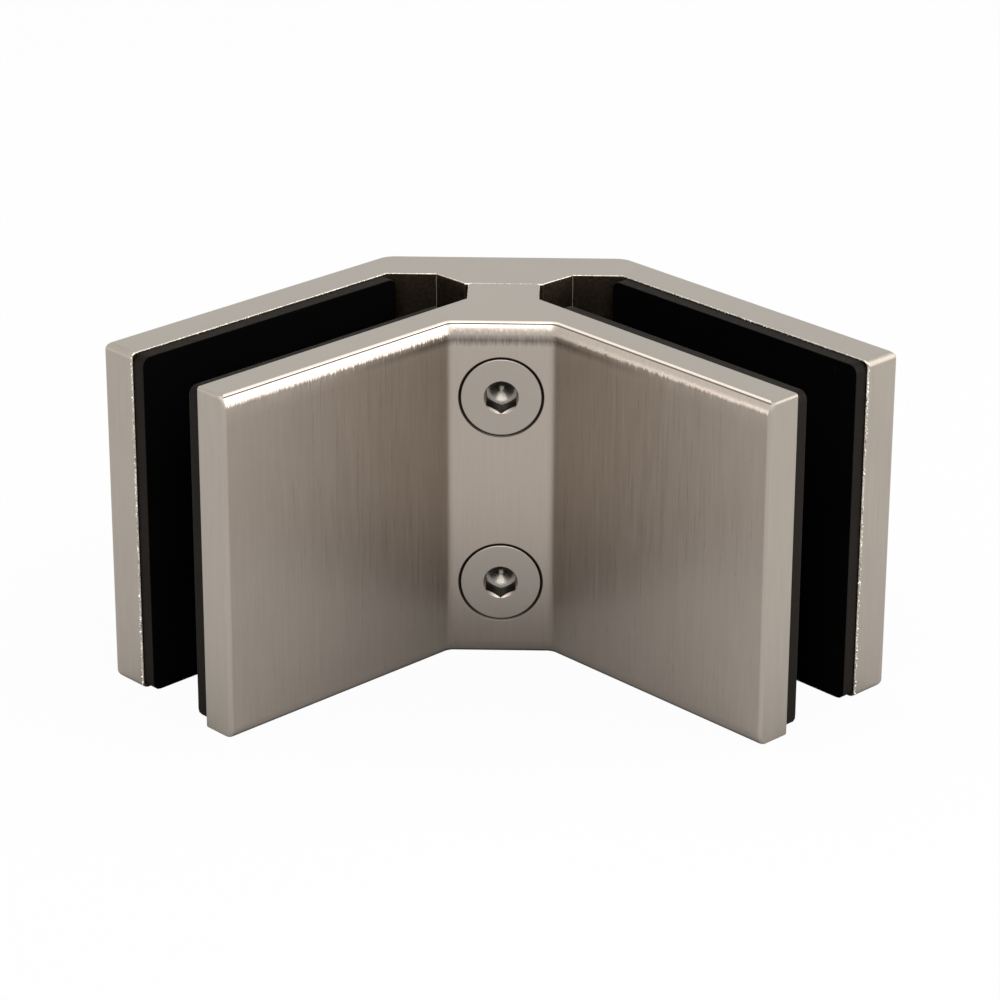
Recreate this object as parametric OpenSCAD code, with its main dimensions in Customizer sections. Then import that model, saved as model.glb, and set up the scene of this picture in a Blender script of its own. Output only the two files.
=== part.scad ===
// Corner clamp for two glass panels
//
// A folded rear plate and a smaller folded front plate grip the edges of two
// panels that meet at a corner. A block on the back of the front plate butts
// against a pad on the rear plate, and two countersunk screws draw the plates
// together. Rubber gaskets line the four wings.
//
// Millimetres. +Z is up, +Y points out of the corner and X runs across it.
// The origin lies under the middle of the clamp, level with its lower edges.

/* [Clamp] */
// Height of both plates
plate_h = 50; // [40:1:80]
// Angle by which each wing is folded forward
fold_angle = 45; // [38:1:52]
// Clear width between the wings' inner faces with the clamp closed
slot_w = 15.2; // [13:0.1:20]

/* [Rear plate] */
// Width of the flat middle, from fold to fold
rear_flat_w = 34.6; // [32:0.2:44]
// Thickness of the flat middle
rear_core_t = 7.9; // [7.4:0.1:10]
// Thickness of the wings
rear_wing_t = 6; // [4.5:0.1:7.5]
// Length of each wing along its outer face
rear_wing_len = 51.4; // [42:0.2:70]
// Radius of the outer folds
rear_fold_r = 3; // [2:0.1:5]
// Width of the pad where the block meets it
pad_top_w = 11; // [10.6:0.1:13]
// Width of the pad at its foot
pad_foot_w = 19.3; // [15:0.1:24]
// Height of the pad above the flat middle
pad_h = 3.8; // [3.2:0.1:5]

/* [Front plate] */
// Width of the flat middle, from fold to fold
front_flat_w = 14.1; // [13.8:0.1:18]
// Thickness of the wings
front_wing_t = 5.4; // [4:0.1:7]
// Length of each wing along its front face
front_wing_len = 40.6; // [34:0.2:60]
// Radius of the front folds
front_fold_r = 2; // [1:0.1:2.2]
// Width of the block that reaches back to the pad
block_w = 10.1; // [9:0.1:10.6]
// Rounding of the block's rear corners
block_corner_r = 0.5; // [0.2:0.1:1]

/* [Edges] */
// Rounding of the long edges of both outer faces
face_edge_r = 1; // [0.4:0.1:1.5]
// Rounding of the wing tips' corners, seen square to the wing
tip_corner_r = 1.3; // [0.5:0.1:2.5]
// Rounding of the wing tips' upright edges, at the outer faces
tip_edge_r = 0.6; // [0.2:0.1:1.2]
// Rounding of the wing tips' upright edges, at the glass
inner_edge_r = 0.3; // [0.1:0.1:0.8]

/* [Gaskets] */
// Thickness of the rubber
gasket_t = 2; // [1:0.1:3]
// Corner radius of each gasket
gasket_corner_r = 1.2; // [0.5:0.1:6]
// Metal left bare above and below each rear gasket
rear_gasket_margin = 0.2; // [0:0.1:2]
// Metal left bare above and below each front gasket
front_gasket_margin = 0.8; // [0:0.1:2]
// Metal left bare at the tip of each wing
gasket_tip_margin = 0.3; // [0:0.1:3]
// Distance from the block to the start of the front gaskets
front_gasket_start = 3.4; // [2.2:0.1:8]

/* [Screws] */
// Thread diameter
screw_d = 6; // [5:0.1:6.5]
// Length of thread held in the rear plate
thread_grip = 9.3; // [6:0.1:9.4]
// Distance from each screw's axis to the nearer edge of the plates
screw_inset = 11; // [8:0.1:13]
// Diameter of the head
head_d = 11.2; // [10:0.1:11.6]
// Diameter of the countersink at the front face
countersink_d = 11.9; // [11.5:0.1:12.4]
// Width across the flats of the hexagon socket
socket_af = 4.2; // [3:0.1:5]
// Depth of the hexagon socket
socket_depth = 2.4; // [1.8:0.1:3]
// Diameter of the chamfer at the socket's mouth
socket_mouth_d = 5; // [4.9:0.1:6.2]
// Chamfer on the tip of the thread
thread_chamfer = 0.6; // [0.3:0.1:1]

/* [Clearances] */
// Radial clearance of the thread in its tapped hole
thread_gap = 0.05; // [0.02:0.01:0.1]
// Radial clearance of the thread in the front plate
shank_gap = 0.3; // [0.1:0.05:0.5]
// Radial clearance between the head's cone and the countersink
seat_gap = 0.05; // [0.02:0.01:0.1]
// Depth of each tapped hole beyond the tip of its screw
hole_spare = 0.6; // [0.3:0.1:0.8]

/* [Hidden] */

$fn = 64;
corner_steps = 6;
overcut = 0.5;
drill_point_angle = 118;

fold_cos = cos(fold_angle);
fold_sin = sin(fold_angle);
along_wing = [fold_cos, -fold_sin];
out_of_wing = [fold_sin, fold_cos];

// Depths are measured back from the front plate's flat middle, and reach is
// how far the rounded front tips stand forward of it
fold_shift = fold_sin * (rear_flat_w - front_flat_w) / 2;
closed_depth = (front_wing_t + slot_w + rear_wing_t - fold_shift) / fold_cos;
joint_depth = closed_depth - rear_core_t - pad_h;
front_reach = front_wing_len * fold_sin - tip_edge_r * (fold_sin + fold_cos - 1);
flat_y = (front_reach - closed_depth) / 2;

// Plan view of the right wings
front_fold = [front_flat_w / 2, flat_y];
front_tip = front_fold + front_wing_len * along_wing;
front_inner_tip = front_tip + front_wing_t * out_of_wing;
front_inner_offset = front_fold * out_of_wing + front_wing_t;
block_root = [block_w / 2, (front_inner_offset - fold_sin * block_w / 2) / fold_cos];
joint_y = flat_y + joint_depth;

core_y = joint_y + pad_h;
rear_fold = [rear_flat_w / 2, flat_y + closed_depth];
rear_tip = rear_fold + rear_wing_len * along_wing;
rear_inner_tip = rear_tip - rear_wing_t * out_of_wing;
rear_inner_fold_x = rear_flat_w / 2 + (rear_core_t * fold_cos - rear_wing_t) / fold_sin;
rear_inner_fold = [rear_inner_fold_x, core_y];

rear_gasket_len = norm(rear_inner_tip - rear_inner_fold) - gasket_tip_margin;
front_inner_len = norm(front_inner_tip - block_root);
front_gasket_len = front_inner_len - front_gasket_start - gasket_tip_margin;

screw_len = joint_depth + thread_grip;
upper_screw_z = plate_h - screw_inset;
lower_screw_z = screw_inset;
head_cone_r = countersink_d / 2 - seat_gap;
shank_hole_r = screw_d / 2 + shank_gap;
tapped_hole_r = screw_d / 2 + thread_gap;
tapped_hole_end = screw_len + hole_spare;

metal = "#a59e94";
screw_metal = "#aca69d";
rubber = "#1b1917";

function unit(v) = v / norm(v);

function turned(v, angle) = [
    v.x * cos(angle) - v.y * sin(angle),
    v.x * sin(angle) + v.y * cos(angle),
];

// Arc of radius r that rounds the corner p between its neighbours a and b
function rounded_corner(a, p, b, r) =
    let (to_a = unit(a - p))
    let (to_b = unit(b - p))
    let (half_angle = acos(to_a * to_b) / 2)
    let (centre = p + unit(to_a + to_b) * r / sin(half_angle))
    let (start = p + to_a * r / tan(half_angle) - centre)
    let (turn = (180 - 2 * half_angle) * sign(cross(-to_a, to_b)))
    [for (i = [0 : corner_steps]) centre + turned(start, turn * i / corner_steps)];

// Outline through corners [x, y, radius]; a radius of 0 keeps a corner sharp
function rounded(corners) =
    let (count = len(corners))
    [
        for (i = [0 : count - 1])
            let (a = corners[(i + count - 1) % count])
            let (p = corners[i])
            let (b = corners[(i + 1) % count])
            let (flat = [p.x, p.y])
            each p.z == 0 ? [flat] : rounded_corner([a.x, a.y], flat, [b.x, b.y], p.z)
    ];

function corner(point, radius = 0) = [point.x, point.y, radius];

// Right half of an outline, followed by its mirror image
function with_mirror(right) = concat(right, [for (p = reversed(right)) [-p.x, p.y, p.z]]);

// What rounding removes from a square corner at the origin of a body at x < 0, y < 0
function rounding_waste(r) = concat(
    [for (i = [0 : corner_steps]) r * [cos(90 * i / corner_steps) - 1, sin(90 * i / corner_steps) - 1]],
    [[-r, overcut], [overcut, overcut], [overcut, -r]]
);

// Unit normals on the left of each stretch of a plan path
function path_normals(path) = [
    for (i = [0 : len(path) - 2])
        let (step = unit(path[i + 1] - path[i]))
        [-step.y, step.x]
];

// Offset direction at point i of a path, mitred between its neighbours
function mitre(normals, i) =
    let (before = normals[max(i - 1, 0)])
    let (after = normals[min(i, len(normals) - 1)])
    (before + after) / (1 + before * after);

// Outer face of a plate in plan, from left to right, run past both tips
function face_path(fold, fold_r, tip) = rounded([
    [-tip.x - overcut * fold_cos, tip.y - overcut * fold_sin, 0],
    [-fold.x, fold.y, fold_r],
    [fold.x, fold.y, fold_r],
    [tip.x + overcut * fold_cos, tip.y - overcut * fold_sin, 0],
]);

function reversed(list) = [for (i = [len(list) - 1 : -1 : 0]) list[i]];

// Sweeps a clockwise section of [distance to the left, height] along a plan path
module sweep(path, section) {
    normals = path_normals(path);
    rings = len(path);
    sides = len(section);
    points = [
        for (i = [0 : rings - 1], s = section)
            let (place = path[i] + s.x * mitre(normals, i))
            [place.x, place.y, s.y]
    ];
    walls = [
        for (i = [0 : rings - 2], j = [0 : sides - 1])
            let (k = (j + 1) % sides)
            [i * sides + j, i * sides + k, (i + 1) * sides + k, (i + 1) * sides + j]
    ];
    first_end = [for (j = [sides - 1 : -1 : 0]) j];
    last_end = [for (j = [0 : sides - 1]) (rings - 1) * sides + j];
    polyhedron(points, concat([first_end], walls, [last_end]), convexity = 6);
}

// Waste along the upper and lower edge of the face on the left of a plan path
module face_edge_waste(path) {
    translate([0, 0, plate_h]) sweep(path, rounding_waste(face_edge_r));
    mirror([0, 0, 1]) sweep(path, rounding_waste(face_edge_r));
}

// Puts children at a point of the right wing: x along it, y outwards
module on_right_wing(point) {
    translate(point) rotate(-fold_angle) children();
}

// Children, and their mirror image on the left
module both_sides() {
    children();
    mirror([1, 0, 0]) children();
}

// Stands a drawing of x and z upright, with its thickness towards +y
module upright(thickness) {
    translate([0, thickness, 0]) rotate([90, 0, 0]) linear_extrude(thickness) children();
}

// Waste at the upper and lower corner of a wing tip
module tip_corner_waste(tip, thickness) {
    on_right_wing(tip) translate([0, -thickness - overcut, 0]) upright(2 * (thickness + overcut)) {
        translate([0, plate_h]) polygon(rounding_waste(tip_corner_r));
        mirror([0, 1]) polygon(rounding_waste(tip_corner_r));
    }
}

// Children at the front face over each screw, turned so that z runs down its axis
module at_screws(heights = [upper_screw_z, lower_screw_z]) {
    for (z = heights) translate([0, flat_y, z]) rotate([-90, 0, 0]) children();
}

module rear_plan() {
    polygon(rounded(with_mirror([
        corner(rear_fold, rear_fold_r),
        corner(rear_tip, tip_edge_r),
        corner(rear_inner_tip, inner_edge_r),
        corner(rear_inner_fold),
        corner([pad_foot_w / 2, core_y]),
        corner([pad_top_w / 2, joint_y]),
    ])));
}

// Countersinks a hole of radius r at z = 0
module countersink(r) {
    translate([0, 0, -overcut]) cylinder(r1 = r + overcut, r2 = 0, h = r + overcut);
}

module tapped_hole() {
    translate([0, 0, joint_depth]) {
        translate([0, 0, -overcut]) cylinder(r = tapped_hole_r, h = tapped_hole_end - joint_depth + overcut);
        countersink(tapped_hole_r + thread_chamfer);
    }
}

module rear_plate() {
    color(metal) difference() {
        linear_extrude(plate_h) rear_plan();
        face_edge_waste(face_path(rear_fold, rear_fold_r, rear_tip));
        both_sides() tip_corner_waste(rear_tip, rear_wing_t);
        at_screws() tapped_hole();
    }
}

module front_plan() {
    polygon(rounded(with_mirror([
        corner([block_w / 2, joint_y], block_corner_r),
        corner(block_root),
        corner(front_inner_tip, inner_edge_r),
        corner(front_tip, tip_edge_r),
        corner(front_fold, front_fold_r),
    ])));
}

module screw_hole() {
    cylinder(r = shank_hole_r, h = joint_depth + overcut);
    countersink(countersink_d / 2);
}

module front_plate() {
    color(metal) difference() {
        linear_extrude(plate_h) front_plan();
        face_edge_waste(reversed(face_path(front_fold, front_fold_r, front_tip)));
        both_sides() tip_corner_waste(front_tip, front_wing_t);
        at_screws() screw_hole();
    }
}

module gasket(length, margin) {
    upright(gasket_t) polygon(rounded([
        [0, margin, gasket_corner_r],
        [length, margin, gasket_corner_r],
        [length, plate_h - margin, gasket_corner_r],
        [0, plate_h - margin, gasket_corner_r],
    ]));
}

module rear_right_gasket() {
    color(rubber) on_right_wing(rear_inner_fold) translate([0, -gasket_t, 0])
        gasket(rear_gasket_len, rear_gasket_margin);
}

module rear_left_gasket() {
    mirror([1, 0, 0]) rear_right_gasket();
}

module front_right_gasket() {
    color(rubber) on_right_wing(block_root) translate([front_gasket_start, 0, 0])
        gasket(front_gasket_len, front_gasket_margin);
}

module front_left_gasket() {
    mirror([1, 0, 0]) front_right_gasket();
}

module screw() {
    head_r = head_d / 2;
    thread_r = screw_d / 2;
    socket_r = socket_af / 2 / cos(30);
    point_h = socket_af / 2 / tan(drill_point_angle / 2);
    color(screw_metal) difference() {
        rotate_extrude() polygon([
            [0, 0],
            [head_r, 0],
            [head_r, head_cone_r - head_r],
            [thread_r, head_cone_r - thread_r],
            [thread_r, screw_len - thread_chamfer],
            [thread_r - thread_chamfer, screw_len],
            [0, screw_len],
        ]);
        translate([0, 0, -overcut]) rotate(30) cylinder(r = socket_r, h = socket_depth + overcut, $fn = 6);
        countersink(socket_mouth_d / 2);
        translate([0, 0, socket_depth]) cylinder(r1 = socket_af / 2, r2 = 0, h = point_h);
    }
}

module upper_screw() {
    at_screws([upper_screw_z]) screw();
}

module lower_screw() {
    at_screws([lower_screw_z]) screw();
}

rear_plate();
front_plate();
rear_left_gasket();
rear_right_gasket();
front_left_gasket();
front_right_gasket();
upper_screw();
lower_screw();
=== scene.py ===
"""Dresses a corner clamp for two glass panels.

Two brushed nickel plates, four sheet rubber gaskets and two countersunk socket
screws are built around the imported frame. Lengths are in metres, with +Z up and
+Y out of the corner.
"""
import logging
import math
from dataclasses import dataclass, field
from enum import Enum
from typing import Callable, Dict, List, Optional, Sequence, Tuple, Union

import bmesh
import bpy
from mathutils import Matrix, Vector


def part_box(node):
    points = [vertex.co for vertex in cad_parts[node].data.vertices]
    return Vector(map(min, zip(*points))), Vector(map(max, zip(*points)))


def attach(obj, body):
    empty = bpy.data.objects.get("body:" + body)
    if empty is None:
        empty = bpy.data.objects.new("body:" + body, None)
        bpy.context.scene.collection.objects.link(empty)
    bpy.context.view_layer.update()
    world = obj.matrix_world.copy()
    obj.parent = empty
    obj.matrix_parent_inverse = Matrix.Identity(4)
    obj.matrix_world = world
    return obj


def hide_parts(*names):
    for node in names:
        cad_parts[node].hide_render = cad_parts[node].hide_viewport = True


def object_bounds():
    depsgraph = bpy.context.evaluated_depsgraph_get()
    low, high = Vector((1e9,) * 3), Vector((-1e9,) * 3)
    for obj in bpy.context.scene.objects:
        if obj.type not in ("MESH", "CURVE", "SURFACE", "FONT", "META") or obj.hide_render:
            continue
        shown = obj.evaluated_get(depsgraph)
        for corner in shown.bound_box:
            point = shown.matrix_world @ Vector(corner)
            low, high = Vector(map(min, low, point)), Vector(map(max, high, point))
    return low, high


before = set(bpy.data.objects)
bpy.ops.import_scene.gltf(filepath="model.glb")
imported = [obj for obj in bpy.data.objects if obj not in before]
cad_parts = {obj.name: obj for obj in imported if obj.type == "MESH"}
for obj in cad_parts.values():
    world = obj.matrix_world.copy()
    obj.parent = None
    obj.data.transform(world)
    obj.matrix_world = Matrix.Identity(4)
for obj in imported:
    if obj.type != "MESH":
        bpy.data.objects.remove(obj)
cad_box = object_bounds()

log = logging.getLogger("clamp")

MM = 0.001
UP = Vector((0.0, 0.0, 1.0))
FOLD = math.radians(45)
SMOOTH_ANGLE = math.radians(32)
NOISE_LOW, NOISE_HIGH = 0.3, 0.7
WHITE = (1.0, 1.0, 1.0, 1.0)

# A length that is too small to show.
HAIR = 0.001 * MM
# The share of a thread's flank that stays flat at its crest, and again at its root.
CREST = 0.14
# How far before and past its end a thread is full and gone, as a share of its run-out.
SHARP_END = 0.001
# How many of the places along a sawn edge keep a burr, and the least and greatest
# stretches of one, as shares of its size.
BURRS_KEPT = 0.6
THIN_BURR, FULL_BURR = (0.2, 0.2, 0.4), (0.7, 0.7, 1.0)
GASKET_WAVES_PER_METRE = 260.0
GASKET_CORNER_STEPS = 10

Point = Tuple[float, float]
Colour = Tuple[float, float, float]
Socket, Material, Piece = bpy.types.NodeSocket, bpy.types.Material, bpy.types.Object
Value = Union[float, int, bool, Tuple[float, ...], Socket, Material]


class Side(Enum):
    """The two wings of the clamp, by the sign of x."""

    LEFT = -1
    RIGHT = 1


class Grain(Enum):
    """The way a surface was brushed, as stretches of its noise along x, y and z."""

    UPRIGHT = (1.0, 1.0, 0.02)
    ACROSS = (1.0, 0.06, 1.0)
    NONE = (1.0, 1.0, 1.0)


class Zone(Enum):
    """The parts of a plate that take a finish of their own."""

    FACE = "face"
    BUFFED = "buffed"
    RIM = "rim"
    END = "end"
    TIP = "tip"
    SLOT = "slot"
    BORE = "bore"
    BURR = "burr"


# ---- node trees


class NodeTree:
    """Adds nodes to a tree and joins them, one call for each node."""

    def __init__(self, tree: bpy.types.NodeTree) -> None:
        """Starts from an empty tree.

        Args:
            tree: The node tree that is filled.
        """
        self.tree = tree
        tree.nodes.clear()

    def add(self, kind: str, inputs: Optional[Dict[Union[str, int], Value]] = None,
            **settings: object) -> bpy.types.Node:
        """Adds one node.

        Args:
            kind: The node's type name.
            inputs: Values or sockets for its inputs, by name or number.
            settings: Properties of the node itself.

        Returns:
            The new node.
        """
        node = self.tree.nodes.new(kind)
        for name, value in settings.items():
            setattr(node, name, value)
        for key, value in (inputs or {}).items():
            socket = node.inputs[key]
            if isinstance(value, Socket):
                self.tree.links.new(value, socket)
            else:
                socket.default_value = value
        return node

    def maths(self, operation: str, *values: Value) -> Socket:
        """Adds a Math node and returns its result.

        Args:
            operation: The Math node's operation.
            values: One to three numbers or sockets.

        Returns:
            The result's socket.
        """
        return self.add("ShaderNodeMath", dict(enumerate(values)), operation=operation).outputs[0]

    def product(self, *values: Value) -> Socket:
        """Multiplies two or more numbers, from the last pair to the first."""
        rest = values[1] if len(values) == 2 else self.product(*values[1:])
        return self.maths("MULTIPLY", values[0], rest)

    def gap(self, first: Value, second: Value) -> Socket:
        """Works out how far two numbers lie apart."""
        return self.maths("ABSOLUTE", self.maths("SUBTRACT", first, second))

    def mixed(self, main: Value, other: Value, share: float) -> Socket:
        """Mixes two numbers, of which the other one takes the given share."""
        return self.maths("ADD", self.product(main, 1 - share), self.product(other, share))

    def spread(self, value: Value, low: float, high: float, to_low: float,
               to_high: float) -> Socket:
        """Maps a value from one range to another, and clamps it there."""
        inputs = {0: value, 1: low, 2: high, 3: to_low, 4: to_high}
        return self.add("ShaderNodeMapRange", inputs).outputs[0]

    def vector(self, operation: str, *values: Value) -> Socket:
        """Adds a Vector Math node on one or two vectors and returns its result."""
        return self.add("ShaderNodeVectorMath", dict(enumerate(values)),
                        operation=operation).outputs[0]

    def scaled(self, vector: Value, scale: Value) -> Socket:
        """Multiplies a vector or a colour by a number."""
        return self.add("ShaderNodeVectorMath", {0: vector, "Scale": scale},
                        operation="SCALE").outputs[0]

    def noise(self, place: Value, per_metre: float, detail: float,
              roughness: float = 0.5) -> Socket:
        """Adds a noise, which mostly keeps between NOISE_LOW and NOISE_HIGH."""
        return self.add("ShaderNodeTexNoise", {
            "Vector": place, "Scale": per_metre, "Detail": detail,
            "Roughness": roughness}).outputs[0]

    def from_noise(self, noise: Value, to_low: float, to_high: float) -> Socket:
        """Maps the usual range of a noise to another one."""
        return self.spread(noise, NOISE_LOW, NOISE_HIGH, to_low, to_high)


class GeometryRule(NodeTree):
    """A geometry node tree with named inputs."""

    def __init__(self, name: str, sizes: Dict[str, str]) -> None:
        """Makes the tree's inputs and output.

        Args:
            name: The tree's name.
            sizes: Each input's name, with its socket type after NodeSocket.
        """
        group = bpy.data.node_groups.new(name, "GeometryNodeTree")
        super().__init__(group)
        group.interface.new_socket("Geometry", in_out="INPUT", socket_type="NodeSocketGeometry")
        for size, kind in sizes.items():
            group.interface.new_socket(size, in_out="INPUT", socket_type="NodeSocket" + kind)
        group.interface.new_socket("Geometry", in_out="OUTPUT", socket_type="NodeSocketGeometry")
        self.group = group
        self.given = self.add("NodeGroupInput").outputs

    def finish(self, geometry: Socket, material: Value) -> None:
        """Ends the tree in Realize Instances and Set Material.

        Args:
            geometry: What the tree has made.
            material: The material that all of it takes.
        """
        real = self.add("GeometryNodeRealizeInstances", {0: geometry}).outputs[0]
        dressed = self.add("GeometryNodeSetMaterial", {"Geometry": real, "Material": material})
        self.add("NodeGroupOutput", {0: dressed.outputs[0]})

    def applied_to(self, piece: Piece, values: Dict[str, Value]) -> Piece:
        """Runs the tree on a piece and keeps the result as a plain mesh.

        Args:
            piece: The object whose mesh goes in.
            values: A value for each named input.

        Returns:
            The same object, with its new mesh and no modifier.
        """
        modifier = piece.modifiers.new(self.group.name, "NODES")
        modifier.node_group = self.group
        for item in self.group.interface.items_tree:
            if item.in_out == "INPUT" and item.name in values:
                modifier[item.identifier] = values[item.name]
        return flattened(piece)


# ---- finishes


def new_material(name: str) -> Tuple[Material, NodeTree]:
    """Starts a material.

    Args:
        name: The material's name.

    Returns:
        The material and its empty node tree.
    """
    material = bpy.data.materials.new(name)
    material.use_nodes = True
    return material, NodeTree(material.node_tree)


@dataclass(frozen=True)
class EdgePolishAndPaintedLight:
    """What the buffing wheel leaves along the upper edge of a face, with painted shade and
    highlights.

    Attributes:
        edge: Height of the upper edge.
        reach: How far below the edge the marks of the wheel fade out.
        heart: Where they are deepest, at the foot of the rolled edge.
        start: Where they begin below the edge.
        tilt: The tilt of the marks, as a slope.
        marks_per_metre: How close the marks lie.
        stretch: Their scale up the face, as a share of the scale along it.
        faintest: The share of the tilt that the faintest marks keep.
        strong: Distance from the middle up to which the marks are strongest.
        weak: Distance from the middle at which they are weakest.
        near_share: The share of the tilt up to the first of these distances.
        far_share: The share of the tilt from the second one on.
        shade_drop: How far below the edge a band of painted shade darkens the middle.
        shade_height: Half the height of that painted shade.
        shade_share: The share of the colour that it takes at most.
        shade_core: The share of its height that is darkest.
        shade_rag: How ragged it is, as a share of its height.
        shade_end: Where it ends along the wings, as a share of the weak distance.
        line_inset: How far the cutter's line lies from the upper and lower edge.
        line_width: Width of that line.
        line_fade: How far from its middle it is darkest and gone, in widths.
        line_level: What is left of the colour in it.
        highlight_fade: Where the painted highlight on the crest beyond it begins and is lightest,
            in insets of the line.
        highlight_level: How much lighter that painted highlight is.
        edge_highlight: How much lighter the rolled edge is, a painted highlight.
    """

    edge: float
    reach: float = 4.2 * MM
    heart: float = 1.7 * MM
    start: float = 0.8 * MM
    tilt: float = 0.24
    marks_per_metre: float = 4800.0
    stretch: float = 0.12
    faintest: float = 0.25
    strong: float = 9 * MM
    weak: float = 34 * MM
    near_share: float = 1.35
    far_share: float = 0.75
    shade_drop: float = 2.55 * MM
    shade_height: float = 1.15 * MM
    shade_share: float = 0.62
    shade_core: float = 0.1
    shade_rag: float = 0.4
    shade_end: float = 0.65
    line_inset: float = 0.32 * MM
    line_width: float = 0.18 * MM
    line_fade: Point = (0.35, 0.6)
    line_level: float = 0.36
    highlight_fade: Point = (0.65, 0.5)
    highlight_level: float = 1.8
    edge_highlight: float = 1.22

    def looks(self, tree: NodeTree, place: Socket, level: Value,
              normal: Value) -> Tuple[Socket, Socket]:
        """Lays the marks, the band of painted shade, the line and the painted highlights over a
        plain face.

        Args:
            tree: The material's tree.
            place: The place on the plate.
            level: How light the plain face is.
            normal: The direction that it looks in.

        Returns:
            The new lightness and direction.
        """
        parts = tree.add("ShaderNodeSeparateXYZ", {0: place}).outputs
        height, aside = parts["Z"], tree.maths("ABSOLUTE", parts["X"])
        short = tree.add("ShaderNodeMapping", {
            "Vector": place, "Scale": (1.0, 1.0, self.stretch)}).outputs[0]
        marks = tree.noise(short, self.marks_per_metre, detail=2.0)
        # The colour takes the painted shade band and the painted highlights; the normal takes the
        # wheel's tilted marks.
        level = tree.product(level, self.lined_and_highlighted(tree, height),
                             self.shaded_band(tree, height, aside, marks))
        return level, self.polished(tree, height, aside, marks, normal)

    def polished(self, tree: NodeTree, height: Value, aside: Value, marks: Value,
                 normal: Value) -> Socket:
        """Tilts the face up in ragged marks that fade out below the upper edge.

        Args:
            tree: The material's tree.
            height: The height on the plate.
            aside: The distance from its middle.
            marks: The noise of the wheel's marks.
            normal: The direction that the face looks in.

        Returns:
            The tilted direction.
        """
        heart = self.edge - self.heart
        nearness = tree.product(tree.spread(height, self.edge - self.reach, heart, 0.0, 1.0),
                                tree.spread(height, heart, self.edge - self.start, 1.0, 0.0))
        depth = tree.product(
            tree.from_noise(marks, self.faintest, 1.0),
            tree.spread(aside, self.strong, self.weak, self.near_share, self.far_share))
        slope = tree.product(tree.product(nearness, depth), self.tilt)
        upwards = tree.add("ShaderNodeCombineXYZ", {"Z": slope}).outputs[0]
        return tree.vector("NORMALIZE", tree.vector("ADD", normal, upwards))

    def shaded_band(self, tree: NodeTree, height: Value, aside: Value, marks: Value) -> Socket:
        """Paints shade into a ragged band below the rolled edge, which fades out along the wings.

        Args:
            tree: The material's tree.
            height: The height on the plate.
            aside: The distance from its middle.
            marks: The noise of the wheel's marks.

        Returns:
            The factor for the colour.
        """
        # Painted shade: a ragged darker band below the rolled edge, strongest in the middle.
        ragged = tree.maths("ADD", tree.gap(height, self.edge - self.shade_drop), tree.from_noise(
            marks, self.shade_rag * self.shade_height, 0.0))
        inside = tree.spread(ragged, self.shade_core * self.shade_height, self.shade_height,
                             self.shade_share, 0.0)
        middle = tree.spread(aside, self.strong, self.shade_end * self.weak, 1.0, 0.0)
        return tree.maths("SUBTRACT", 1.0, tree.product(inside, middle))

    def lined_and_highlighted(self, tree: NodeTree, height: Value) -> Socket:
        """Darkens the cutter's fine line beside both edges, and paints highlights beyond it and on
        the rolled edge.

        Args:
            tree: The material's tree.
            height: The height on the plate.

        Returns:
            The factor for the colour.
        """
        middle = self.edge / 2
        from_middle = tree.gap(height, middle)
        off_line = tree.gap(from_middle, middle - self.line_inset)
        core, side = (share * self.line_width for share in self.line_fade)
        dark = tree.spread(off_line, core, side, self.line_level, 1.0)
        # Painted highlight: the crest beyond the line is made lighter.
        foot, top = (middle - share * self.line_inset for share in self.highlight_fade)
        crest = tree.spread(from_middle, foot, top, 1.0, self.highlight_level)
        # Painted highlight: the rolled edge is made lighter, so that the lamps' reflection on it
        # turns white.
        highlighted = tree.spread(height, self.edge - self.heart, self.edge - self.line_inset,
                                1.0, self.edge_highlight)
        return tree.product(tree.product(dark, crest), highlighted)


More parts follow.
